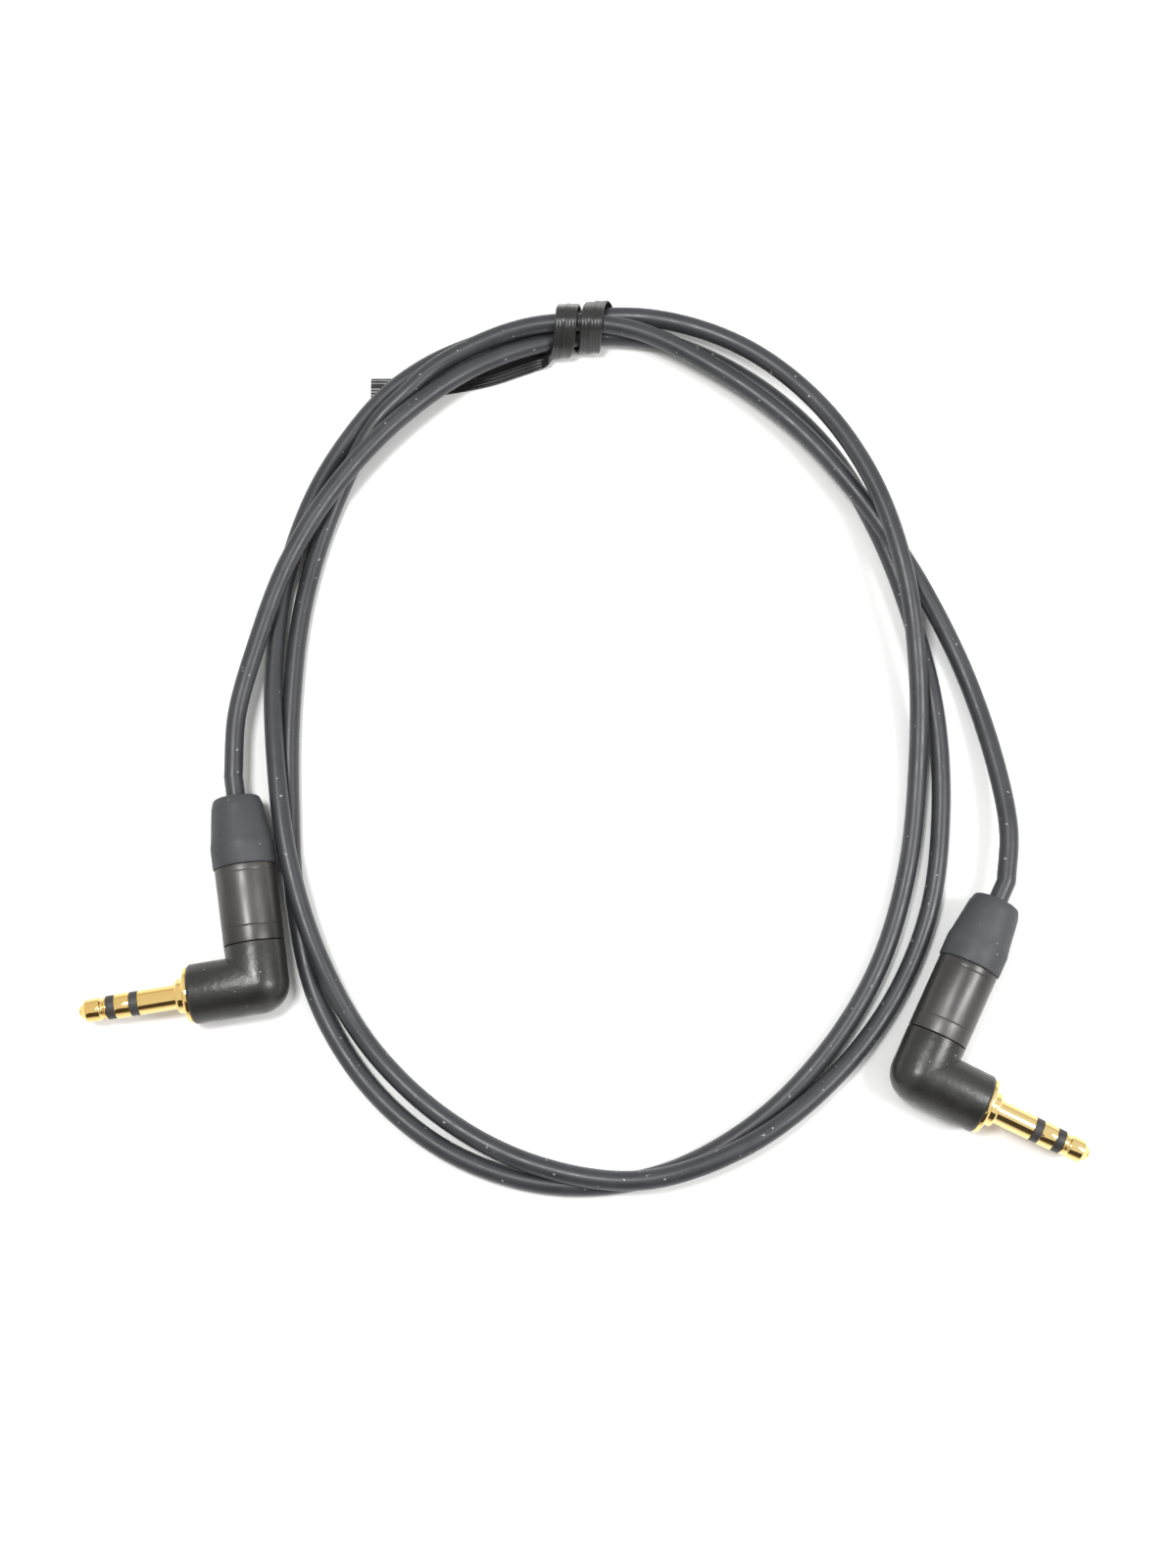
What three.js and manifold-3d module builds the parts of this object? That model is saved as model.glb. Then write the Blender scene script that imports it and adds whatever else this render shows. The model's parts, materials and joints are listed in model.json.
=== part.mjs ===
// Balanced patch cable: two slim right-angle 3.5 mm three-pole jack plugs joined by about a
// metre of round cable, coiled in three loose turns and held at the top by a twist tie.
// Units are millimetres, +Z is up, and the coil lies on the plane z = 0.
import * as THREE from "three";
import { mergeVertices } from "three/addons/utils/BufferGeometryUtils.js";
import Module from "manifold-3d";

const wasm = await Module();
wasm.setup();

// Driving dimensions.
const CABLE_RADIUS = 1.4;
const CABLE_SIDES = 8;
const CABLE_STEPS = 80;
const CABLE_REST = 1.52;
const CABLE_STRAIGHT_OUT = 3.2;
const PLUG_HEIGHT = 4.55;
const SIDES = 28;
const FINE_SIDES = 16;

// Jack pin, measured from the elbow's corner along the pin.
const PIN_RADIUS = 1.75;
const LEG_END = 9.7;
const COLLAR_RADIUS = 4.05;
const SHOULDER = 11.7;
const RING_INSULATOR_START = 17.25;
const RING_START = 18.4;
const TIP_INSULATOR_START = 20.55;
const TIP_START = 21.75;
const PIN_END = SHOULDER + 14;

// Cable side of the plug, measured from the elbow's corner along the barrel.
const LEG_RADIUS = 4.3;
const BARREL_RADIUS = 4.35;
const SEAM = 5.8;
const BARREL_END = 16.95;
const BARREL_TAIL_END = 21;
const BOOT_START = 17;
const BOOT_END = 27.4;
const BOOT_RADIUS = 4.55;
const BOOT_MOUTH_RADIUS = 1.85;
const STRIP_END = 11.75;
const WIRE_RADIUS = 0.45;

// Where each plug lies and which way its barrel points.
const PLUGS = [
  { prefix: "a", corner: [-46, -40.2], barrelAngle: 99, turnedOver: false },
  { prefix: "b", corner: [48.1, -53], barrelAngle: 64.2, turnedOver: true },
];

// The cable's route between the two boots, following its centre line.
const ROUTE = [
  [-50.6, -0.9, 4.6],
  [-48.3, 9.1, 4.6],
  [-43.8, 22.6, 4.7],
  [-37.1, 34.3, 4.9],
  [-27.4, 45.4, 5],
  [-15.4, 54.3, 4.2],
  [-0.8, 59.2, 2.9],
  [13.2, 58.6, 2],
  [26.5, 52.1, 1.7],
  [37.4, 41.8, CABLE_REST],
  [44.7, 28.9, CABLE_REST],
  [49.6, 14.7, CABLE_REST],
  [52.6, 0.1, CABLE_REST],
  [52.9, -14.9, CABLE_REST],
  [50.6, -29.7, CABLE_REST],
  [44.5, -43.1, CABLE_REST],
  [34.6, -54.8, 2.5],
  [22.6, -63.3, 3.9],
  [8.5, -67.7, 4.4],
  [-6.1, -65.7, 3.4],
  [-19.3, -59.2, 1.7],
  [-30.3, -49, 1.68],
  [-37.7, -36.4, 3.5],
  [-42.4, -22.2, 4.4],
  [-44.8, -7.4, 3.8],
  [-45.8, 7.5, 2.2],
  [-44.3, 22.4, CABLE_REST],
  [-39.5, 36.5, CABLE_REST],
  [-31.1, 48.8, 2.1],
  [-25.4, 53.6, 2.4],
  [-18.9, 57.3, 2.1],
  [-4.8, 61.8, 2.2],
  [10.1, 62.2, 3.5],
  [24.1, 57.3, 4.6],
  [35.4, 47.7, 5.9],
  [43.3, 35.1, 7],
  [47.8, 20.8, 7],
  [49.7, 6.1, 4.7],
  [49.6, -8.7, 2],
  [47.6, -23.7, CABLE_REST],
  [42.9, -37.8, CABLE_REST],
  [34.8, -50.3, CABLE_REST],
  [24, -60.5, CABLE_REST],
  [10.8, -67.1, CABLE_REST],
  [-4, -68.4, CABLE_REST],
  [-18.2, -64.1, CABLE_REST],
  [-29.9, -55, CABLE_REST],
  [-38, -42.4, CABLE_REST],
  [-41.6, -28.1, CABLE_REST],
  [-42.9, -12.9, CABLE_REST],
  [-43.1, 1.8, CABLE_REST],
  [-41.8, 16.8, CABLE_REST],
  [-38, 31.3, 1.6],
  [-31.8, 44.3, 3.1],
  [-26.5, 49.8, 4.2],
  [-21, 54.5, 4.6],
  [-7.5, 60.1, 5.1],
  [7.2, 59.7, 5.2],
  [20.8, 53.5, 4.1],
  [32.6, 44.4, 3.8],
  [41.6, 33.6, 4.2],
  [46.4, 26.3, 4.3],
  [50.4, 20.1, 3.4],
  [56.8, 7.1, 1.9],
  [60.8, -7.2, 3],
  [62.2, -17.9, 4.1],
];

// Twist tie: each point of its centre line, then the way its outer face looks there.
const TIE_WIDTH = 3;
const TIE_WING = 0.3;
const TIE_RIDGE = 0.7;
const TIE_STEPS = 90;
const TIE_PATH = [
  [-32.5, 51.9, 0.4, 0, -1],
  [-26.2, 52, 0.4, 0, -1],
  [-20.2, 52.7, 0.4, 0, -1],
  [-14.2, 54, 0.4, 0, -1],
  [-9.6, 55.6, 0.4, 0, -1],
  [-6.2, 56.7, 0.5, -0.1, -1],
  [-4.3, 56.7, 1.1, -0.6, -0.8],
  [-3.3, 56.4, 2.5, -1, -0.1],
  [-2.9, 56.7, 4.3, -0.95, 0.35],
  [-2.6, 58.1, 6, -0.75, 0.65],
  [-2.4, 59.3, 7, -0.5, 0.85],
  [-2.3, 60.7, 7.4, 0, 1],
  [-2.2, 62.2, 6.8, 0.5, 0.85],
  [-2.1, 63.4, 5.1, 0.85, 0.5],
  [-2, 64.3, 3.5, 1, 0.1],
  [-1.8, 64.4, 2.3, 1, -0.1],
  [-1.5, 63.8, 0.9, 0.7, -0.7],
  [-1.1, 62.3, 0.4, 0, -1],
  [-0.4, 60.7, 0.4, 0, -1],
  [0.3, 59.1, 0.6, -0.2, -1],
  [0.9, 57.7, 1.2, -0.7, -0.7],
  [1.2, 57.1, 2.5, -1, -0.1],
  [1.3, 57.4, 4.2, -0.95, 0.3],
  [1.4, 58.4, 6, -0.75, 0.65],
  [1.5, 59.3, 7.1, -0.5, 0.85],
  [1.6, 60.6, 7.5, 0, 1],
  [1.8, 62.1, 6.9, 0.5, 0.85],
  [2.1, 63.6, 5.3, 0.85, 0.5],
  [2.5, 64.6, 3.8, 1, 0.1],
  [2.9, 64.8, 2.6, 1, -0.1],
  [3.4, 64.1, 1.1, 0.7, -0.7],
  [3.8, 62.5, 0.5, 0, -1],
  [4.2, 60.7, 0.5, 0, -1],
];

const FINISHES = {
  blackMetal: { color: 0x1c1c1e, roughness: 0.3, metalness: 0.4 },
  gold: { color: 0xd8a648, roughness: 0.2, metalness: 1 },
  boot: { color: 0x29292b, roughness: 0.65, metalness: 0 },
  jacket: { color: 0x303236, roughness: 0.45, metalness: 0 },
  insulator: { color: 0x1b1b1d, roughness: 0.5, metalness: 0 },
  washer: { color: 0x6b4a2c, roughness: 0.7, metalness: 0 },
  tinned: { color: 0xb9bcc0, roughness: 0.35, metalness: 1 },
  redWire: { color: 0xa3231d, roughness: 0.5, metalness: 0 },
  whiteWire: { color: 0xd9d7d0, roughness: 0.5, metalness: 0 },
  copper: { color: 0xb5683a, roughness: 0.4, metalness: 1 },
  tiePlastic: { color: 0x2b2b2d, roughness: 0.55, metalness: 0 },
  steelWire: { color: 0x9a9da1, roughness: 0.4, metalness: 1 },
};

const cable = new THREE.Group();

function piece(parent, name, geometry, finish) {
  const mesh = new THREE.Mesh(geometry, new THREE.MeshStandardMaterial(FINISHES[finish]));
  mesh.name = name;
  parent.add(mesh);
  return mesh;
}

// A closed shape with its corners shared, ready to join or cut.
function solid(geometry) {
  const bare = geometry.index ? geometry.toNonIndexed() : geometry.clone();
  bare.deleteAttribute("normal");
  bare.deleteAttribute("uv");
  const merged = mergeVertices(bare, 1e-5);
  const triangles = [];
  const index = merged.index.array;
  for (let i = 0; i < index.length; i += 3) {
    const [p, q, r] = [index[i], index[i + 1], index[i + 2]];
    if (p !== q && q !== r && r !== p) triangles.push(p, q, r);
  }
  const mesh = new wasm.Mesh({
    numProp: 3,
    vertProperties: new Float32Array(merged.attributes.position.array),
    triVerts: new Uint32Array(triangles),
  });
  return new wasm.Manifold(mesh);
}

function geometryOf(manifold) {
  const mesh = manifold.getMesh();
  const geometry = new THREE.BufferGeometry();
  geometry.setAttribute("position", new THREE.BufferAttribute(mesh.vertProperties, 3));
  geometry.setIndex(new THREE.BufferAttribute(mesh.triVerts, 1));
  geometry.computeVertexNormals();
  return geometry;
}

// A turned piece about +Y; the outline is a list of [radius, distance] corners.
function turned(outline, sides = SIDES) {
  return new THREE.LatheGeometry(outline.map(([r, y]) => new THREE.Vector2(r, y)), sides);
}

// A turned ring or tube, whose outline closes on itself.
function turnedTube(outline, sides = SIDES) {
  return turned([...outline, outline[0]], sides);
}

// Lay a piece turned about +Y along the pin, which points to -X.
function alongPin(geometry) {
  return geometry.rotateZ(Math.PI / 2);
}

function flatPlate(corners, bottom, top) {
  const shape = new THREE.Shape(corners.map(([x, y]) => new THREE.Vector2(x, y)));
  const plate = new THREE.ExtrudeGeometry(shape, { depth: top - bottom, bevelEnabled: false });
  return plate.translate(0, 0, bottom);
}

function wire(points) {
  const curve = new THREE.CatmullRomCurve3(points.map((p) => new THREE.Vector3(...p)));
  const round = new THREE.Shape();
  round.absarc(0, 0, WIRE_RADIUS, 0, 2 * Math.PI);
  return new THREE.ExtrudeGeometry(round, { steps: 6, curveSegments: 4, extrudePath: curve });
}

// The elbow: two legs that meet at a rounded corner, hollow right through.
function elbowHousing() {
  const pinLeg = turned([
    [0, 0],
    [LEG_RADIUS, 0],
    [LEG_RADIUS, LEG_END - 0.5],
    [LEG_RADIUS - 0.35, LEG_END],
    [0, LEG_END],
  ]);
  const cableLeg = turned([
    [0, 0],
    [BARREL_RADIUS, 0],
    [BARREL_RADIUS, SEAM - 0.05],
    [3.45, SEAM - 0.05],
    [3.45, 9.6],
    [0, 9.6],
  ]);
  const corner = new THREE.SphereGeometry(LEG_RADIUS, SIDES, SIDES / 2).rotateX(Math.PI / 2);
  const pinBore = turned([[0, 0], [2.95, 0], [2.95, LEG_END + 1], [0, LEG_END + 1]], FINE_SIDES);
  const cableBore = turned([[0, 0], [2.6, 0], [2.6, 11], [0, 11]], FINE_SIDES);
  const well = new THREE.SphereGeometry(2.9, FINE_SIDES, FINE_SIDES / 2).rotateX(Math.PI / 2);
  return geometryOf(
    solid(alongPin(pinLeg))
      .add(solid(cableLeg))
      .add(solid(corner))
      .subtract(solid(alongPin(pinBore)))
      .subtract(solid(cableBore))
      .subtract(solid(well)),
  );
}

// The barrel screws over the elbow's neck; its tail carries the boot.
function barrel() {
  return turnedTube([
    [3.5, SEAM + 0.05],
    [BARREL_RADIUS, SEAM + 0.05],
    [BARREL_RADIUS, BARREL_END],
    [3.6, BARREL_END],
    [3.6, BARREL_TAIL_END],
    [2.6, BARREL_TAIL_END],
    [2.6, 10.2],
    [3.5, 10.2],
  ]);
}

function boot() {
  return turnedTube([
    [3.7, BOOT_START],
    [BOOT_RADIUS, BOOT_START],
    [BOOT_RADIUS, 20.1],
    [4.38, 20.7],
    [3.72, 26],
    [3.4, 27],
    [2.9, BOOT_END],
    [BOOT_MOUTH_RADIUS, BOOT_END],
    [BOOT_MOUTH_RADIUS, 22.2],
    [3.7, 21.6],
  ]);
}

// Sleeve pole: the pin's first stretch, its stepped collar and the spigot held in the elbow.
function sleeveContact() {
  return turnedTube(
    [
      [1.35, 6.9],
      [2.85, 6.9],
      [2.85, LEG_END + 0.05],
      [COLLAR_RADIUS, LEG_END + 0.05],
      [COLLAR_RADIUS, 10.2],
      [3.7, 10.45],
      [2.5, 10.45],
      [2.5, 11.5],
      [2.35, SHOULDER],
      [PIN_RADIUS, SHOULDER],
      [PIN_RADIUS, RING_INSULATOR_START - 0.05],
      [1.35, RING_INSULATOR_START - 0.05],
    ],
    FINE_SIDES,
  );
}

// A stepped tube: a thin neck that runs back into the elbow and a head flush with the pin.
function poleTube({ inner, neck, headRadius, back, head, end }) {
  const outline = [
    [inner, back],
    [neck, back],
    [neck, head],
    [headRadius, head],
    [headRadius, end],
    [inner, end],
  ];
  return alongPin(turnedTube(outline, FINE_SIDES));
}

function ringInsulator() {
  const lengths = { back: 6.9, head: RING_INSULATOR_START, end: RING_START - 0.05 };
  return poleTube({ inner: 1, neck: 1.3, headRadius: 1.73, ...lengths });
}

function ringContact() {
  const lengths = { back: 4.4, head: RING_START, end: TIP_INSULATOR_START - 0.05 };
  return poleTube({ inner: 0.7, neck: 0.95, headRadius: PIN_RADIUS, ...lengths });
}

function tipInsulator() {
  const lengths = { back: 3.55, head: TIP_INSULATOR_START, end: TIP_START - 0.05 };
  return poleTube({ inner: 0.45, neck: 0.65, headRadius: 1.73, ...lengths });
}

function tipContact() {
  return turned(
    [
      [0, 2.6],
      [0.4, 2.6],
      [0.4, 2.9],
      [1, 2.9],
      [1, 3.5],
      [0.4, 3.5],
      [0.4, TIP_START],
      [1.65, TIP_START],
      [1.65, 22.1],
      [1.3, 22.35],
      [1.3, 22.5],
      [1.55, 22.8],
      [1.45, 24.8],
      [0.8, PIN_END],
      [0, PIN_END],
    ],
    FINE_SIDES,
  );
}

function washer(inner, outer, from, to) {
  return turnedTube([[inner, from], [outer, from], [outer, to], [inner, to]], FINE_SIDES);
}

function tipLug() {
  const corners = [[-2.5, -0.6], [1.1, -0.6], [1.1, 6.5], [-0.1, 6.5], [-0.1, 0.6], [-2.5, 0.6]];
  return flatPlate(corners, -0.18, 0.18);
}

function ringLug() {
  const ring = solid(alongPin(washer(1, 1.65, 4.45, 4.8)));
  const riser = solid(new THREE.BoxGeometry(0.35, 1.2, 0.75).translate(-4.625, 0, 1.675));
  const corners = [[-4.8, -0.6], [-0.2, -0.6], [-0.2, 7], [-1.4, 7], [-1.4, 0.6], [-4.8, 0.6]];
  return geometryOf(ring.add(riser).add(solid(flatPlate(corners, 1.75, 2.05))));
}

function groundLug() {
  const ring = solid(alongPin(washer(1.4, 2.2, 6.4, 6.8)));
  const corners = [[-6.8, -1], [1, -1], [1, 16], [-1, 16], [-1, 1], [-6.8, 1]];
  return geometryOf(ring.add(solid(flatPlate(corners, -2.05, -1.75))));
}

function addPlug({ prefix, corner, barrelAngle, turnedOver }) {
  const place = new THREE.Group();
  place.position.set(corner[0], corner[1], PLUG_HEIGHT);
  place.rotation.z = THREE.MathUtils.degToRad(barrelAngle - 90);
  cable.add(place);
  const plug = new THREE.Group();
  plug.rotation.y = turnedOver ? Math.PI : 0;
  place.add(plug);
  const add = (name, geometry, finish) => piece(plug, `${prefix}_${name}`, geometry, finish);

  add("elbow_housing", elbowHousing(), "blackMetal");
  add("threaded_barrel", barrel(), "blackMetal");
  add("rubber_boot", boot(), "boot");
  add("sleeve_contact", alongPin(sleeveContact()), "gold");
  add("ring_insulator", ringInsulator(), "insulator");
  add("ring_contact", ringContact(), "gold");
  add("tip_insulator", tipInsulator(), "insulator");
  add("tip_contact", alongPin(tipContact()), "gold");
  add("ring_washer", alongPin(washer(1, 1.7, 4.85, 6.35)), "washer");
  add("tip_washer", alongPin(washer(0.7, 1.6, 3.55, 4.35)), "washer");
  add("tip_lug", tipLug(), "tinned");
  add("ring_lug", ringLug(), "tinned");
  add("ground_lug", groundLug(), "tinned");
  add("crimp_ferrule", washer(1.45, 1.7, 12.3, 16), "copper");
  add("tip_conductor", wire([[0.5, 4.6, 0.7], [0.5, 8, 0.7], [0.5, STRIP_END, 0.7]]), "redWire");
  add("ring_conductor", wire([[-0.9, 4.6, 1.25], [-0.9, 8, 1.2], [-0.6, STRIP_END, 0.5]]), "whiteWire");
  add("shield_pigtail", wire([[0, 6.5, -1.2], [0, 8.5, -1.2], [0, STRIP_END, -0.75]]), "copper");
}

// A point on a plug's barrel axis, at a distance from its corner.
function onBarrel({ corner, barrelAngle }, distance) {
  const turn = THREE.MathUtils.degToRad(barrelAngle);
  return new THREE.Vector3(
    corner[0] + distance * Math.cos(turn),
    corner[1] + distance * Math.sin(turn),
    PLUG_HEIGHT,
  );
}

// The cord's centre line. Two steps fall on each straight end, so that it leaves its boot
// straight, and the others are even along the free route.
class CordPath extends THREE.CurvePath {
  getPoint(t, target) {
    const straight = this.curves[0].getLength() / this.getLength();
    const end = 2 / CABLE_STEPS;
    let share = straight + ((1 - 2 * straight) * (t - end)) / (1 - 2 * end);
    if (t < end) share = (straight * t) / end;
    if (t > 1 - end) share = 1 - (straight * (1 - t)) / end;
    return super.getPoint(share, target);
  }

  getUtoTmapping(u) {
    return u;
  }
}

function cableJacket() {
  const [first, last] = PLUGS;
  const path = new CordPath();
  const leave = onBarrel(first, BOOT_END + CABLE_STRAIGHT_OUT);
  const arrive = onBarrel(last, BOOT_END + CABLE_STRAIGHT_OUT);
  const route = ROUTE.map((p) => new THREE.Vector3(...p));
  path.add(new THREE.LineCurve3(onBarrel(first, STRIP_END + 0.1), leave));
  path.add(new THREE.CatmullRomCurve3([leave, ...route, arrive]));
  path.add(new THREE.LineCurve3(arrive, onBarrel(last, STRIP_END + 0.1)));
  const round = new THREE.Shape();
  round.absarc(0, 0, CABLE_RADIUS, 0, 2 * Math.PI);
  return new THREE.ExtrudeGeometry(round, {
    steps: CABLE_STEPS,
    curveSegments: CABLE_SIDES / 2,
    extrudePath: path,
  });
}

// A strip swept along the tie's path with a hole along its middle; no hole gives a plain rod.
function sweptStrip(outline, hole) {
  const line = new THREE.CatmullRomCurve3(TIE_PATH.map(([x, y, z]) => new THREE.Vector3(x, y, z)));
  const faces = new THREE.CatmullRomCurve3(TIE_PATH.map(([, , , ny, nz]) => new THREE.Vector3(0, ny, nz)));
  const section = [...outline, ...hole];
  const vertices = [];
  for (let i = 0; i <= TIE_STEPS; i += 1) {
    const t = i / TIE_STEPS;
    const along = line.getTangent(t);
    const across = new THREE.Vector3().crossVectors(along, faces.getPoint(t)).normalize();
    const out = new THREE.Vector3().crossVectors(across, along).normalize();
    for (const [u, v] of section) {
      const p = line.getPoint(t).addScaledVector(across, u).addScaledVector(out, v);
      vertices.push(p.x, p.y, p.z);
    }
  }
  const triangles = [];
  const wall = (start, count, inward) => {
    for (let i = 0; i < TIE_STEPS; i += 1) {
      for (let k = 0; k < count; k += 1) {
        const a = i * section.length + start + k;
        const b = i * section.length + start + ((k + 1) % count);
        const [c, d] = [a + section.length, b + section.length];
        if (inward) triangles.push(a, b, c, b, d, c);
        else triangles.push(a, c, b, b, c, d);
      }
    }
  };
  wall(0, outline.length, false);
  wall(outline.length, hole.length, true);
  const cap = THREE.ShapeUtils.triangulateShape(
    outline.map(([u, v]) => new THREE.Vector2(u, v)),
    hole.length ? [hole.map(([u, v]) => new THREE.Vector2(u, v))] : [],
  );
  const last = TIE_STEPS * section.length;
  for (const [a, b, c] of cap) {
    triangles.push(a, b, c);
    triangles.push(last + a, last + c, last + b);
  }
  const geometry = new THREE.BufferGeometry();
  geometry.setAttribute("position", new THREE.BufferAttribute(new Float32Array(vertices), 3));
  geometry.setIndex(triangles);
  geometry.computeVertexNormals();
  return geometry;
}

function square(half) {
  return [[-half, -half], [half, -half], [half, half], [-half, half]];
}

function tieSleeve() {
  const [w, t, r] = [TIE_WIDTH / 2, TIE_WING / 2, TIE_RIDGE / 2];
  const under = [[-w, -t], [-0.6, -t], [-0.3, -r], [0.3, -r], [0.6, -t], [w, -t]];
  const over = under.map(([u, v]) => [-u, -v]);
  return sweptStrip([...under, ...over], square(0.19));
}

PLUGS.forEach(addPlug);
piece(cable, "cable_jacket", cableJacket(), "jacket");
piece(cable, "tie_sleeve", tieSleeve(), "tiePlastic");
piece(cable, "tie_wire", sweptStrip(square(0.14), []), "steelWire");

export default cable;
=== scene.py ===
import json
import math

import bpy
from mathutils import Matrix, Vector


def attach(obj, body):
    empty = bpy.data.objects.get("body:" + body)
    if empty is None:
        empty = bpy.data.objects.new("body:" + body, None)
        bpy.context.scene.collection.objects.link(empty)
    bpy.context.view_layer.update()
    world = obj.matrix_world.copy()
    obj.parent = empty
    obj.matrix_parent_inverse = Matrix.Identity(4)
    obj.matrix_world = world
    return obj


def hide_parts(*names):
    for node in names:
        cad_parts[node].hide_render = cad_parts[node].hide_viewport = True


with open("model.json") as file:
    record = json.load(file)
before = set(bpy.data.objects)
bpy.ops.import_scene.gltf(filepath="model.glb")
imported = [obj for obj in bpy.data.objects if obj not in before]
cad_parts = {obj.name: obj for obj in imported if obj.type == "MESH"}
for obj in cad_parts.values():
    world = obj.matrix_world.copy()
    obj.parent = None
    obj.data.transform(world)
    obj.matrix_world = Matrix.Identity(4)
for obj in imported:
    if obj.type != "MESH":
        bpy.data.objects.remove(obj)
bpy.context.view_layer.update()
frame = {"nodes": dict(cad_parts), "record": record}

# Coiled audio patch cable: two right-angle jack plugs, a round cord and a twist tie on a white
# table. Places are in metres in the CAD part's frame; turned outlines are in millimetres.
MM = 0.001

# The camera looks down and slightly away from itself, as a phone held over a table does.
CAMERA_PLACE = (0.0010, -0.0636, 0.2747)
CAMERA_PITCH = 11
CAMERA_LENS = 43.3

CABLE_RADIUS = 0.0014
PLUG_HEIGHT = 0.00455
CABLE_REST = 0.00152

# How far the cord runs straight out of each boot, and on inside it, in millimetres.
STRAIGHT_OUT = 3.2
STRAIGHT_INSIDE = 4

# Pin side of a plug, measured from the elbow's corner along the pin, in millimetres.
PIN_RADIUS = 1.75
PIN_LENGTH = 14
LEG_END = 9.7
SPIGOT_START = 6.9
SPIGOT_RADIUS = 2.85
COLLAR_RADIUS = 4.05
BOSS_RADIUS = 2.5
SLEEVE_BORE = 1.35
SHOULDER = 11.7
RING_INSULATOR_START = 17.25
RING_START = 18.4
TIP_INSULATOR_START = 20.55
TIP_START = 21.75
TIP_ROD_START = 3
TIP_ROD_RADIUS = 0.4
TIP_ROD_BORE = 0.02
PIN_END = SHOULDER + PIN_LENGTH

# The pin's rings: bore, outer radius, start, end, and how far their edges are rounded.
RING_INSULATOR = (1, 1.74, RING_INSULATOR_START, RING_START, 0.04)
RING_CONTACT = (0.7, PIN_RADIUS, RING_START, TIP_INSULATOR_START, 0.1)
TIP_INSULATOR = (0.45, 1.7, TIP_INSULATOR_START, TIP_START, 0.04)

# Cable side of a plug, measured from the elbow's corner along the barrel, in millimetres.
LEG_RADIUS = 4.3
BARREL_RADIUS = 4.35
SEAM = 5.8
BARREL_END = 16.95
BARREL_TAIL_END = 21
BOOT_START = 17
BOOT_END = 27.4
BOOT_RADIUS = 4.55
BOOT_MOUTH = 1.5
BOOT_SOCKET = 3.7

# The barrel's inside and the threaded neck that it screws over, in millimetres.
BARREL_SOCKET = 3.5
BARREL_SOCKET_END = 10.2
BARREL_TAIL = 3.6
BARREL_BORE = 2.6
NECK_END = 9.6
NECK_BORE = 2.6
NECK_TIP = 3.4
THREAD_PITCH = 0.5
THREAD_CREST = 3.45
THREAD_ROOT = 3.25

# Fine grooves round the barrel: the place and the depth of each, and half their width.
BARREL_GROOVES = [(8.1, 0.07), (16.0, 0.05)]
GROOVE_HALF = 0.09

# The elbow's two rims: millimetres back from the leg's end, then the radius there.
PIN_RIM = [
    (0, 0.66 * LEG_RADIUS),
    (0, 0.94 * LEG_RADIUS),
    (0.05, 0.965 * LEG_RADIUS),
    (0.15, 0.985 * LEG_RADIUS),
    (0.4, LEG_RADIUS),
]
SEAM_RIM = [
    (0.25, BARREL_RADIUS),
    (0.12, 0.995 * BARREL_RADIUS),
    (0.05, 0.97 * BARREL_RADIUS),
    (0.05, 0.78 * LEG_RADIUS),
]

# Each plug: its elbow's corner in metres, and its barrel's heading in degrees from +X.
PLUGS = [
    {"prefix": "a", "corner": (-0.046, -0.0402), "angle": 99, "turned_over": False},
    {"prefix": "b", "corner": (0.0481, -0.053), "angle": 64.2, "turned_over": True},
]

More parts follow.
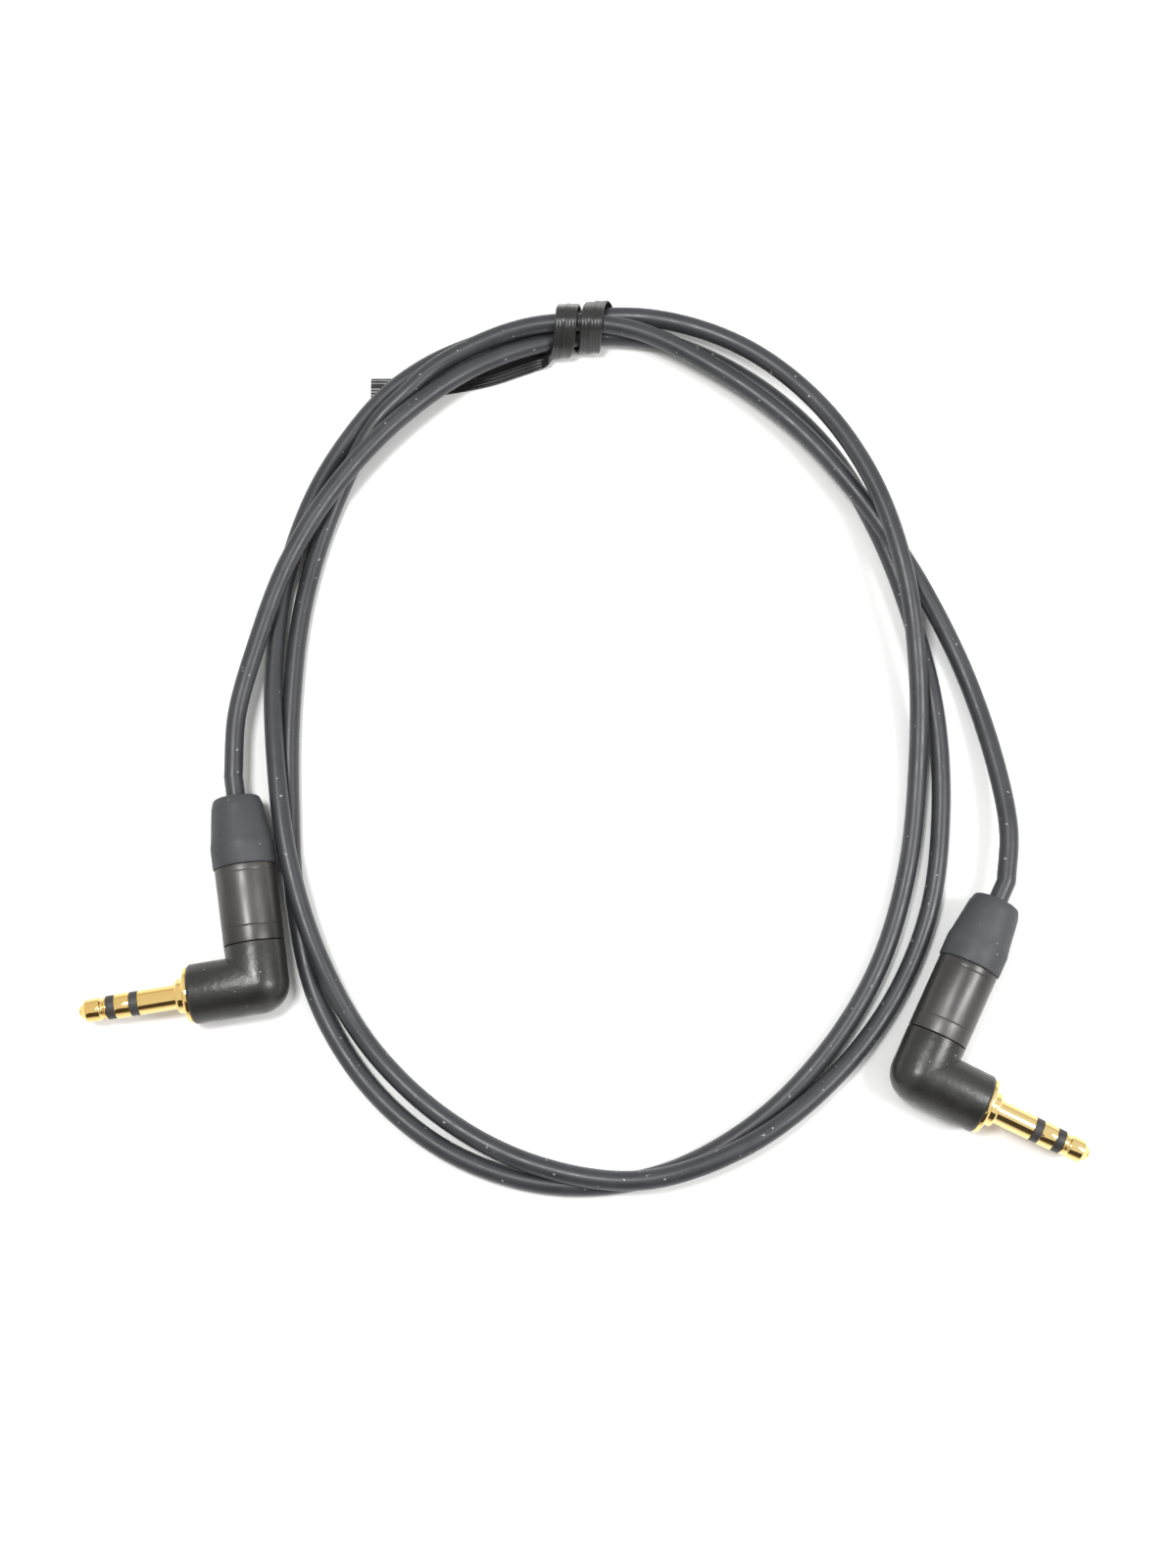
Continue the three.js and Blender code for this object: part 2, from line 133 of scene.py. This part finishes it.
# The cord's centre line between the two boots, in metres, as in the CAD part.
ROUTE = [
    (-0.0506, -0.0009, 0.0046),
    (-0.0483, 0.0091, 0.0046),
    (-0.0438, 0.0226, 0.0047),
    (-0.0371, 0.0343, 0.0049),
    (-0.0274, 0.0454, 0.005),
    (-0.0154, 0.0543, 0.0042),
    (-0.0008, 0.0592, 0.0029),
    (0.0132, 0.0586, 0.002),
    (0.0265, 0.0521, 0.0017),
    (0.0374, 0.0418, CABLE_REST),
    (0.0447, 0.0289, CABLE_REST),
    (0.0496, 0.0147, CABLE_REST),
    (0.0526, 0.0001, CABLE_REST),
    (0.0529, -0.0149, CABLE_REST),
    (0.0506, -0.0297, CABLE_REST),
    (0.0445, -0.0431, CABLE_REST),
    (0.0346, -0.0548, 0.0025),
    (0.0226, -0.0633, 0.0039),
    (0.0085, -0.0677, 0.0044),
    (-0.0061, -0.0657, 0.0034),
    (-0.0193, -0.0592, 0.0017),
    (-0.0303, -0.049, 0.00168),
    (-0.0377, -0.0364, 0.0035),
    (-0.0424, -0.0222, 0.0044),
    (-0.0448, -0.0074, 0.0038),
    (-0.0458, 0.0075, 0.0022),
    (-0.0443, 0.0224, CABLE_REST),
    (-0.0395, 0.0365, CABLE_REST),
    (-0.0311, 0.0488, 0.0021),
    (-0.0254, 0.0536, 0.0024),
    (-0.0189, 0.0573, 0.0021),
    (-0.0048, 0.0618, 0.0022),
    (0.0101, 0.0622, 0.0035),
    (0.0241, 0.0573, 0.0046),
    (0.0354, 0.0477, 0.0059),
    (0.0433, 0.0351, 0.007),
    (0.0478, 0.0208, 0.007),
    (0.0497, 0.0061, 0.0047),
    (0.0496, -0.0087, 0.002),
    (0.0476, -0.0237, CABLE_REST),
    (0.0429, -0.0378, CABLE_REST),
    (0.0348, -0.0503, CABLE_REST),
    (0.024, -0.0605, CABLE_REST),
    (0.0108, -0.0671, CABLE_REST),
    (-0.004, -0.0684, CABLE_REST),
    (-0.0182, -0.0641, CABLE_REST),
    (-0.0299, -0.055, CABLE_REST),
    (-0.038, -0.0424, CABLE_REST),
    (-0.0416, -0.0281, CABLE_REST),
    (-0.0429, -0.0129, CABLE_REST),
    (-0.0431, 0.0018, CABLE_REST),
    (-0.0418, 0.0168, CABLE_REST),
    (-0.038, 0.0313, 0.0016),
    (-0.0318, 0.0443, 0.0031),
    (-0.0265, 0.0498, 0.0042),
    (-0.021, 0.0545, 0.0046),
    (-0.0075, 0.0601, 0.0051),
    (0.0072, 0.0597, 0.0052),
    (0.0208, 0.0535, 0.0041),
    (0.0326, 0.0444, 0.0038),
    (0.0416, 0.0336, 0.0042),
    (0.0464, 0.0263, 0.0043),
    (0.0504, 0.0201, 0.0034),
    (0.0568, 0.0071, 0.0019),
    (0.0608, -0.0072, 0.003),
    (0.0622, -0.0179, 0.0041),
]

# The twist tie: each point of its centre line in metres, then the way its outer face looks.
TIE_WIDTH = 0.0033
TIE_WING = 0.00012
TIE_RIB = 0.00008
TIE_RIDGE = 0.00012
TIE_PATH = [
    (-0.0325, 0.0519, 0.0004, 0, -1),
    (-0.0262, 0.052, 0.0004, 0, -1),
    (-0.0202, 0.0527, 0.0004, 0, -1),
    (-0.0142, 0.054, 0.0004, 0, -1),
    (-0.0096, 0.0556, 0.0004, 0, -1),
    (-0.0062, 0.0567, 0.0005, -0.1, -1),
    (-0.0043, 0.0567, 0.0011, -0.6, -0.8),
    (-0.0033, 0.0564, 0.0025, -1, -0.1),
    (-0.0029, 0.0567, 0.0043, -0.95, 0.35),
    (-0.0026, 0.0581, 0.006, -0.75, 0.65),
    (-0.0024, 0.0593, 0.007, -0.5, 0.85),
    (-0.0023, 0.0607, 0.0074, 0, 1),
    (-0.0022, 0.0622, 0.0068, 0.5, 0.85),
    (-0.0021, 0.0634, 0.0051, 0.85, 0.5),
    (-0.002, 0.0643, 0.0035, 1, 0.1),
    (-0.0018, 0.0644, 0.0023, 1, -0.1),
    (-0.0015, 0.0638, 0.0009, 0.7, -0.7),
    (-0.0011, 0.0623, 0.0004, 0, -1),
    (-0.0004, 0.0607, 0.0004, 0, -1),
    (0.0003, 0.0591, 0.0006, -0.2, -1),
    (0.0009, 0.0577, 0.0012, -0.7, -0.7),
    (0.0012, 0.0571, 0.0025, -1, -0.1),
    (0.0013, 0.0574, 0.0042, -0.95, 0.3),
    (0.0014, 0.0584, 0.006, -0.75, 0.65),
    (0.0015, 0.0593, 0.0071, -0.5, 0.85),
    (0.0016, 0.0606, 0.0075, 0, 1),
    (0.0018, 0.0621, 0.0069, 0.5, 0.85),
    (0.0021, 0.0636, 0.0053, 0.85, 0.5),
    (0.0025, 0.0646, 0.0038, 1, 0.1),
    (0.0029, 0.0648, 0.0026, 1, -0.1),
    (0.0034, 0.0641, 0.0011, 0.7, -0.7),
    (0.0038, 0.0625, 0.0005, 0, -1),
    (0.0042, 0.0607, 0.0005, 0, -1),
]

# Light: a bright room, one square lamp to the right and one overhead.
ROOM_STRENGTH = 0.85
KEY_PLACE = (0.24, -0.05, 0.27)
KEY_SIZE = 0.12
KEY_WATTS = 0.8
OVERHEAD_PLACE = (-0.098, 0.012, 0.42)
OVERHEAD_SIZE = 0.09
OVERHEAD_WATTS = 1.15

# Two dark cards near the camera that the gold mirrors.
PHONE_PLACE = (0.001, -0.115, 0.285)
PHONE_SIZE = (0.08, 0.16)
PHONE_TONE = (0.03, 0.028, 0.026)
HOLDER_PLACE = (0, -0.42, 0.34)
HOLDER_SIZE = (0.5, 0.5)
HOLDER_TONE = (0.07, 0.055, 0.045)

TABLE_SIZE = (3, 3)


# --- Materials ------------------------------------------------------------------------------

# How fine each noise is, in waves per metre.
TONE_SCALE = 160
POLISH_SCALE = 420
SPECK_SCALE = 1500

# How strongly a finish's grain bends the light.
GRAIN_STRENGTH = 0.35


def new_material(name):
    material = bpy.data.materials.new(name)
    material.use_nodes = True
    tree = material.node_tree
    return material, tree, tree.nodes["Principled BSDF"]


def noise_of(tree, scale, detail=4.0, stretch=(1, 1, 1)):
    """A noise in the object's own space, stretched along its axes."""
    place = tree.nodes.new("ShaderNodeTexCoord")
    mapping = tree.nodes.new("ShaderNodeMapping")
    mapping.inputs["Scale"].default_value = stretch
    noise = tree.nodes.new("ShaderNodeTexNoise")
    noise.inputs["Scale"].default_value = scale
    noise.inputs["Detail"].default_value = detail
    tree.links.new(place.outputs["Object"], mapping.inputs["Vector"])
    tree.links.new(mapping.outputs["Vector"], noise.inputs["Vector"])
    return noise.outputs["Fac"]


def spread(tree, value, low, high, start=0.3, end=0.7):
    """Map a noise's middle range onto low to high."""
    node = tree.nodes.new("ShaderNodeMapRange")
    node.inputs["From Min"].default_value = start
    node.inputs["From Max"].default_value = end
    node.inputs["To Min"].default_value = low
    node.inputs["To Max"].default_value = high
    tree.links.new(value, node.inputs["Value"])
    return node.outputs["Result"]


def mixed(tree, share, first, second):
    """A colour between two, by share."""
    node = tree.nodes.new("ShaderNodeMix")
    node.data_type = "RGBA"
    node.inputs["A"].default_value = (*first, 1)
    node.inputs["B"].default_value = (*second, 1)
    tree.links.new(share, node.inputs["Factor"])
    return node.outputs["Result"]


def bump(tree, shader, height, strength, distance):
    """Raise a fine relief on the surface by a height."""
    node = tree.nodes.new("ShaderNodeBump")
    node.inputs["Strength"].default_value = strength
    node.inputs["Distance"].default_value = distance
    tree.links.new(height, node.inputs["Height"])
    tree.links.new(node.outputs["Normal"], shader.inputs["Normal"])


def dusty(tree, colour, amount):
    """Scatter a few small pale specks over a colour."""
    node = tree.nodes.new("ShaderNodeMix")
    node.data_type = "RGBA"
    node.inputs["B"].default_value = (0.3, 0.29, 0.27, 1)
    tree.links.new(colour, node.inputs["A"])
    peak = 0.8 - amount
    specks = spread(tree, noise_of(tree, SPECK_SCALE, 1), 0, 1, peak, peak + 0.02)
    tree.links.new(specks, node.inputs["Factor"])
    return node.outputs["Result"]


def surface(name, dark, light, roughness, metallic=0.0, grain=900, relief=0.00002,
            stretch=(1, 1, 1), dust=0.0):
    """A worn, uneven finish: two close tones, a roughness that wanders and a fine grain."""
    material, tree, shader = new_material(name)
    shader.inputs["Metallic"].default_value = metallic
    tone = spread(tree, noise_of(tree, TONE_SCALE, 5, stretch), 0, 1)
    colour = mixed(tree, tone, dark, light)
    if dust:
        colour = dusty(tree, colour, dust)
    tree.links.new(colour, shader.inputs["Base Color"])
    polish = spread(tree, noise_of(tree, POLISH_SCALE, 6, stretch), *roughness)
    tree.links.new(polish, shader.inputs["Roughness"])
    bump(tree, shader, noise_of(tree, grain, 6, stretch), GRAIN_STRENGTH, relief)
    return material


# Each finish: its darker and lighter tone, then the range of its roughness.
MATERIALS = {
    "elbow": surface("elbow black", (0.011, 0.011, 0.01), (0.022, 0.022, 0.02), (0.26, 0.42),
                     grain=1300, relief=0.00014, dust=0.03),
    "black_metal": surface("barrel black", (0.035, 0.036, 0.035), (0.095, 0.09, 0.086),
                           (0.27, 0.48), metallic=0.65, relief=0.00006, stretch=(1, 0.3, 1)),
    "boot_rubber": surface("boot rubber", (0.034, 0.036, 0.041), (0.048, 0.05, 0.056),
                           (0.5, 0.66), grain=2600, relief=0.00005, dust=0.03),
    "cable_jacket": surface("cord jacket", (0.022, 0.023, 0.027), (0.036, 0.037, 0.043),
                            (0.32, 0.44), grain=2400, relief=0.00003, dust=0.045),
    "gold_plate": surface("gold plate", (0.9, 0.58, 0.18), (1.0, 0.78, 0.36), (0.03, 0.08),
                          metallic=1.0, relief=0.00001, stretch=(0.1, 1, 1)),
    "pole_insulation": surface("pole insulation", (0.018, 0.017, 0.016), (0.04, 0.038, 0.036),
                               (0.4, 0.6)),
    "fibre_washer": surface("washer fibre", (0.11, 0.05, 0.02), (0.2, 0.1, 0.04), (0.6, 0.8)),
    "tinned_lug": surface("tinned lug", (0.5, 0.51, 0.53), (0.68, 0.69, 0.7), (0.25, 0.45),
                          metallic=1.0),
    "copper": surface("copper", (0.5, 0.19, 0.08), (0.72, 0.33, 0.16), (0.25, 0.45),
                      metallic=1.0),
    "red_insulation": surface("red insulation", (0.3, 0.01, 0.01), (0.45, 0.02, 0.02),
                              (0.3, 0.45)),
    "white_insulation": surface("white insulation", (0.6, 0.6, 0.56), (0.75, 0.74, 0.7),
                                (0.3, 0.45)),
    "tie_plastic": surface("tie ribbon", (0.01, 0.01, 0.01), (0.02, 0.02, 0.02),
                           (0.22, 0.36), grain=2800),
    "tie_wire": surface("tie wire", (0.4, 0.41, 0.42), (0.6, 0.6, 0.61), (0.3, 0.5),
                        metallic=1.0),
}


# --- Shapes ---------------------------------------------------------------------------------


def new_piece(name, vertices, faces, finish, sharp_above=32):
    """A mesh in one finish, shaded smooth except where its faces meet at a sharp angle."""
    mesh = bpy.data.meshes.new(name)
    mesh.from_pydata([tuple(v) for v in vertices], [], faces)
    mesh.validate()
    mesh.update()
    mesh.shade_smooth()
    mesh.set_sharp_from_angle(angle=math.radians(sharp_above))
    mesh.materials.append(MATERIALS[finish])
    piece = bpy.data.objects.new(name, mesh)
    bpy.context.scene.collection.objects.link(piece)
    return piece


def quads(rows, columns, rows_close=False, columns_close=False):
    """The faces between a grid's points, where the last row or column may meet the first."""
    faces = []
    for i in range(rows if rows_close else rows - 1):
        this_row, next_row = i * columns, (i + 1) % rows * columns
        for k in range(columns if columns_close else columns - 1):
            on = (k + 1) % columns
            faces.append((this_row + k, this_row + on, next_row + on, next_row + k))
    return faces


def softened(outline, cut, steps=3):
    """A closed outline with each corner rounded off by up to cut."""
    rounded = []
    count = len(outline)
    for i in range(count):
        before, corner, after = (Vector(outline[(i + k) % count]) for k in (-1, 0, 1))
        back, on = before - corner, after - corner
        start = corner + back.normalized() * min(cut, 0.45 * back.length)
        end = corner + on.normalized() * min(cut, 0.45 * on.length)
        for k in range(steps + 1):
            t = k / steps
            rounded.append((1 - t) ** 2 * start + 2 * t * (1 - t) * corner + t * t * end)
    return rounded


def turned(outline, cut, sides=72):
    """Vertices and faces of a closed outline of (radius, distance) turned about +Y."""
    ring = softened(outline, cut)
    vertices = []
    for i in range(sides):
        turn = 2 * math.pi * i / sides
        for radius, distance in ring:
            place = Vector((radius * math.cos(turn), distance, radius * math.sin(turn)))
            vertices.append(place * MM)
    return vertices, quads(sides, len(ring), rows_close=True, columns_close=True)


def along_pin(shape):
    """Lay a shape turned about +Y along the pin, which points to -X."""
    vertices, faces = shape
    return [Vector((-y, x, z)) for x, y, z in vertices], faces


def joined(*shapes):
    """Several shapes as the vertices and faces of one."""
    vertices, faces = [], []
    for more_vertices, more_faces in shapes:
        start = len(vertices)
        vertices += more_vertices
        faces += [tuple(start + k for k in face) for face in more_faces]
    return vertices, faces


def elbow_skin(sides=96, arc_steps=20):
    """Two straight legs that meet in a crease inside the bend and a round corner outside it."""
    lines = []
    for i in range(sides):
        turn = 2 * math.pi * i / sides
        u, z = LEG_RADIUS * math.cos(turn), LEG_RADIUS * math.sin(turn)
        inside, outside = max(u, 0), max(-u, 0)
        line = []
        for back, radius in PIN_RIM:
            share = radius / LEG_RADIUS
            line.append(Vector((back - LEG_END, u * share, z * share)))
        for k in range(arc_steps + 1):
            lean = math.pi / 2 * k / arc_steps
            x = outside * math.sin(lean) - inside
            y = inside - outside * math.cos(lean)
            line.append(Vector((x, y, z)))
        for back, radius in SEAM_RIM:
            share = radius / LEG_RADIUS
            line.append(Vector((-u * share, SEAM - back, z * share)))
        lines.append(line)
    vertices = [place * MM for line in lines for place in line]
    grid = quads(sides, len(lines[0]), rows_close=True)
    return vertices, [(a, c, d, b) for a, b, d, c in grid]


def neck():
    """The elbow's threaded neck, which the barrel hides until it is unscrewed."""
    start = SEAM - 0.1
    thread = []
    for i in range(int((NECK_END - start) / THREAD_PITCH)):
        crest = start + 0.1 + i * THREAD_PITCH
        root = start + (i + 0.6) * THREAD_PITCH
        thread += [(THREAD_CREST, crest), (THREAD_ROOT, root)]
    outline = [(NECK_BORE, start), *thread, (NECK_TIP, NECK_END), (NECK_BORE, NECK_END)]
    return turned(outline, cut=0.05, sides=64)


def barrel():
    """A tube with two fine grooves, a socket for the neck and a thin tail under the boot."""
    outline = [(BARREL_SOCKET, SEAM + 0.05), (BARREL_RADIUS, SEAM + 0.05)]
    for place, depth in BARREL_GROOVES:
        outline += [
            (BARREL_RADIUS, place - GROOVE_HALF),
            (BARREL_RADIUS - depth, place),
            (BARREL_RADIUS, place + GROOVE_HALF),
        ]
    outline += [
        (BARREL_RADIUS, BARREL_END),
        (BARREL_TAIL, BARREL_END),
        (BARREL_TAIL, BARREL_TAIL_END),
        (BARREL_BORE, BARREL_TAIL_END),
        (BARREL_BORE, BARREL_SOCKET_END),
        (BARREL_SOCKET, BARREL_SOCKET_END),
    ]
    return turned(outline, cut=0.08, sides=96)


def boot():
    """A soft sleeve that tapers from the barrel to a mouth that hugs the cord."""
    outline = [
        (BOOT_SOCKET, BOOT_START),
        (BOOT_RADIUS, BOOT_START),
        (BOOT_RADIUS, 20.3),
        (4.36, 21.2),
        (3.75, 26),
        (3.35, 27.2),
        (2.7, BOOT_END),
        (BOOT_MOUTH, BOOT_END - 0.1),
        (BOOT_MOUTH, 22.2),
        (BOOT_SOCKET, 21.6),
    ]
    return turned(outline, cut=0.32, sides=96)


def sleeve_contact():
    """The first pole: a spigot inside the elbow, a wide collar, a boss and a tube."""
    outline = [
        (SLEEVE_BORE, SPIGOT_START),
        (SPIGOT_RADIUS, SPIGOT_START),
        (SPIGOT_RADIUS, LEG_END + 0.02),
        (COLLAR_RADIUS, LEG_END + 0.02),
        (COLLAR_RADIUS, 10.2),
        (3.7, 10.45),
        (BOSS_RADIUS, 10.5),
        (BOSS_RADIUS, 11.45),
        (2.3, SHOULDER),
        (PIN_RADIUS, SHOULDER + 0.02),
        (PIN_RADIUS, RING_INSULATOR_START - 0.03),
        (SLEEVE_BORE, RING_INSULATOR_START - 0.03),
    ]
    return along_pin(turned(outline, cut=0.1))


def pole(bore, radius, start, end, cut):
    """A plain ring of the pin."""
    outline = [(bore, start), (radius, start), (radius, end), (bore, end)]
    return along_pin(turned(outline, cut))


def tip_contact():
    """The last pole: a thin rod through the others, and a waisted tip with a blunt end."""
    outline = [
        (TIP_ROD_BORE, TIP_ROD_START),
        (TIP_ROD_RADIUS, TIP_ROD_START),
        (TIP_ROD_RADIUS, TIP_START),
        (1.68, TIP_START),
        (1.68, 22.0),
        (1.36, 22.25),
        (1.36, 22.5),
        (1.66, 22.75),
        (1.62, 24.7),
        (0.95, 25.35),
        (0.7, PIN_END),
        (TIP_ROD_BORE, PIN_END),
    ]
    return along_pin(turned(outline, cut=0.09))


def plug_frame(plug):
    """Where a plug lies: its corner, its barrel's heading and which side is up."""
    x, y = plug["corner"]
    place = Matrix.Translation((x, y, PLUG_HEIGHT))
    lean = Matrix.Rotation(math.radians(plug["angle"] - 90), 4, "Z")
    roll = Matrix.Rotation(math.pi if plug["turned_over"] else 0, 4, "Y")
    return place @ lean @ roll


def add_plug(plug):
    """The pieces of a plug that show, each in place of its CAD node."""
    prefix = plug["prefix"]
    parts = [
        ("elbow_housing", "root", joined(elbow_skin(), neck()), "elbow", "black_metal"),
        ("threaded_barrel", f"{prefix}_barrel", barrel(), "black_metal", "black_metal"),
        ("rubber_boot", f"{prefix}_boot", boot(), "boot_rubber", "boot_rubber"),
        ("sleeve_contact", "root", sleeve_contact(), "gold_plate", "gold_plate"),
        ("ring_insulator", "root", pole(*RING_INSULATOR), "pole_insulation", "pole_insulation"),
        ("ring_contact", "root", pole(*RING_CONTACT), "gold_plate", "gold_plate"),
        ("tip_insulator", "root", pole(*TIP_INSULATOR), "pole_insulation", "pole_insulation"),
        ("tip_contact", "root", tip_contact(), "gold_plate", "gold_plate"),
    ]
    for name, body, shape, finish, slot in parts:
        piece = new_piece(f"{prefix}_{name}_look", *shape, finish)
        piece.matrix_world = plug_frame(plug)
        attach(piece, body)
        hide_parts(f"{prefix}_{name}")


def on_barrel(plug, distance):
    """The point on a plug's barrel axis at a distance in millimetres from its corner."""
    return plug_frame(plug) @ Vector((0, distance * MM, 0))


def smooth_line(points, steps=10):
    """A centripetal Catmull-Rom line through the points."""
    points = [2 * points[0] - points[1], *points, 2 * points[-1] - points[-2]]
    line = []
    for p0, p1, p2, p3 in zip(points, points[1:], points[2:], points[3:]):
        d0, d1, d2 = (math.sqrt((b - a).length) for a, b in ((p0, p1), (p1, p2), (p2, p3)))
        leave = ((p1 - p0) / d0 - (p2 - p0) / (d0 + d1) + (p2 - p1) / d1) * d1
        arrive = ((p2 - p1) / d1 - (p3 - p1) / (d1 + d2) + (p3 - p2) / d2) * d1
        for k in range(steps):
            t = k / steps
            line.append(
                (2 * t**3 - 3 * t**2 + 1) * p1
                + (t**3 - 2 * t**2 + t) * leave
                + (-2 * t**3 + 3 * t**2) * p2
                + (t**3 - t**2) * arrive
            )
    return [*line, points[-2]]


def add_cord():
    """One free cord, in at one boot's mouth and out at the other's."""
    route = [Vector(p) for p in ROUTE]
    leave, arrive = (on_barrel(plug, BOOT_END + STRAIGHT_OUT) for plug in PLUGS)
    free = smooth_line([leave, *route, arrive])
    start, end = (on_barrel(plug, BOOT_END - STRAIGHT_INSIDE) for plug in PLUGS)
    line = [start, *free, end]
    curve = bpy.data.curves.new("cord", "CURVE")
    curve.dimensions = "3D"
    curve.bevel_depth = CABLE_RADIUS
    curve.bevel_resolution = 6
    curve.use_fill_caps = True
    spline = curve.splines.new("POLY")
    spline.points.add(len(line) - 1)
    for point, place in zip(spline.points, line):
        point.co = (*place, 1)
    spline.use_smooth = True
    curve.materials.append(MATERIALS["cable_jacket"])
    cord = bpy.data.objects.new("cord", curve)
    bpy.context.scene.collection.objects.link(cord)
    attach(cord, "root")
    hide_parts("cable_jacket")


def ribbon_section():
    """The twist tie's outline: flat wings with fine ribs, and a raised middle over the wire."""
    count = 45
    ribs = 7
    wire_share = 0.28
    edge_share = 0.06
    back_share = 0.6
    face = []
    for i in range(count):
        across = 2 * i / (count - 1) - 1
        rib = 0.5 + 0.5 * math.cos(math.pi * ribs * across)
        ridge = max(0.0, 1 - (across / wire_share) ** 2)
        edge = min(1.0, (1 - abs(across)) / edge_share)
        thickness = edge * (TIE_WING + TIE_RIB * rib + TIE_RIDGE * ridge)
        face.append((across * TIE_WIDTH / 2, thickness))
    return face + [(-u, -back_share * v) for u, v in face[1:-1]]


def add_tie():
    """The ribbon, swept along its wraps with its ribbed face outwards."""
    steps = 12
    line = smooth_line([Vector(row[:3]) for row in TIE_PATH], steps)
    facing = [Vector((0, *row[3:])) for row in TIE_PATH]
    section = ribbon_section()
    count = len(section)
    vertices = []
    for i, place in enumerate(line):
        along = line[min(i + 1, len(line) - 1)] - line[max(i - 1, 0)]
        row = min(i // steps, len(facing) - 2)
        across = along.cross(facing[row].lerp(facing[row + 1], i / steps - row)).normalized()
        out = across.cross(along).normalized()
        vertices += [place + across * u + out * v for u, v in section]
    faces = quads(len(line), count, columns_close=True)
    start = len(vertices) - count
    faces += [tuple(range(count))[::-1], tuple(range(start, start + count))]
    tie = new_piece("twist_tie", vertices, faces, "tie_plastic", sharp_above=50)
    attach(tie, "root")
    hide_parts("tie_sleeve")


def dress_cad_nodes():
    """Give the CAD nodes that stay in view the finish of their slot in the record."""
    slots = {s["node"]: s["material_slot"] for s in frame["record"]["subparts"]}
    for name, node in frame["nodes"].items():
        node.data.materials.clear()
        node.data.materials.append(MATERIALS[slots[name]])


# --- Table, light and camera ----------------------------------------------------------------


def add_board(name, size, material):
    """A flat rectangle that belongs to the set, and isn't part of the object."""
    x, y = size[0] / 2, size[1] / 2
    mesh = bpy.data.meshes.new(name)
    mesh.from_pydata([(-x, -y, 0), (x, -y, 0), (x, y, 0), (-x, y, 0)], [], [(0, 1, 2, 3)])
    mesh.materials.append(material)
    flat = bpy.data.objects.new(name, mesh)
    bpy.context.scene.collection.objects.link(flat)
    return flat


def add_table():
    material, tree, shader = new_material("table white")
    tone = spread(tree, noise_of(tree, 30, 6), 0, 1)
    colour = mixed(tree, tone, (0.86, 0.86, 0.85), (0.88, 0.88, 0.88))
    tree.links.new(colour, shader.inputs["Base Color"])
    tree.links.new(spread(tree, noise_of(tree, 300), 0.4, 0.5), shader.inputs["Roughness"])
    add_board("table", TABLE_SIZE, material)


def add_softbox(name, place, size, watts):
    """A square lamp that faces the middle of the coil."""
    light = bpy.data.lights.new(name, "AREA")
    light.size = size
    light.energy = watts
    lamp = bpy.data.objects.new(name, light)
    lamp.location = place
    lamp.rotation_euler = Vector(place).to_track_quat("Z", "Y").to_euler()
    lamp.visible_camera = False
    bpy.context.scene.collection.objects.link(lamp)


def add_card(name, place, size, pitch, tone):
    """A dark board out of the camera's sight that the shiny pieces mirror."""
    material, tree, shader = new_material(name)
    patches = spread(tree, noise_of(tree, 12, 3), 0, 1)
    darker = tuple(0.4 * c for c in tone)
    tree.links.new(mixed(tree, patches, darker, tone), shader.inputs["Base Color"])
    shader.inputs["Roughness"].default_value = 0.9
    card = add_board(name, size, material)
    card.location = place
    card.rotation_euler = (math.radians(pitch), 0, 0)
    card.visible_camera = False


def add_room():
    """A bright room, a little darker and warmer low down."""
    world = bpy.data.worlds.new("room")
    bpy.context.scene.world = world
    world.use_nodes = True
    tree = world.node_tree
    background = tree.nodes["Background"]
    place = tree.nodes.new("ShaderNodeTexCoord")
    height = tree.nodes.new("ShaderNodeSeparateXYZ")
    tree.links.new(place.outputs["Generated"], height.inputs["Vector"])
    rise = spread(tree, height.outputs["Z"], 0, 1, 0.0, 0.5)
    tree.links.new(mixed(tree, rise, (0.74, 0.7, 0.64), (1, 1, 1)), background.inputs["Color"])
    background.inputs["Strength"].default_value = ROOM_STRENGTH


def add_camera():
    camera = bpy.data.objects.new("camera", bpy.data.cameras.new("camera"))
    camera.location = CAMERA_PLACE
    camera.rotation_euler = (math.radians(CAMERA_PITCH), 0, 0)
    camera.data.lens = CAMERA_LENS
    camera.data.sensor_width = 36
    camera.data.clip_start = 0.01
    camera.data.clip_end = 20
    bpy.context.scene.collection.objects.link(camera)
    bpy.context.scene.camera = camera


add_camera()
add_cord()
add_tie()
for plug in PLUGS:
    add_plug(plug)
dress_cad_nodes()
add_table()
add_room()
add_softbox("key", KEY_PLACE, KEY_SIZE, KEY_WATTS)
add_softbox("overhead", OVERHEAD_PLACE, OVERHEAD_SIZE, OVERHEAD_WATTS)
add_card("phone", PHONE_PLACE, PHONE_SIZE, CAMERA_PITCH, PHONE_TONE)
add_card("holder", HOLDER_PLACE, HOLDER_SIZE, 90, HOLDER_TONE)
bpy.context.scene.view_settings.view_transform = "Standard"
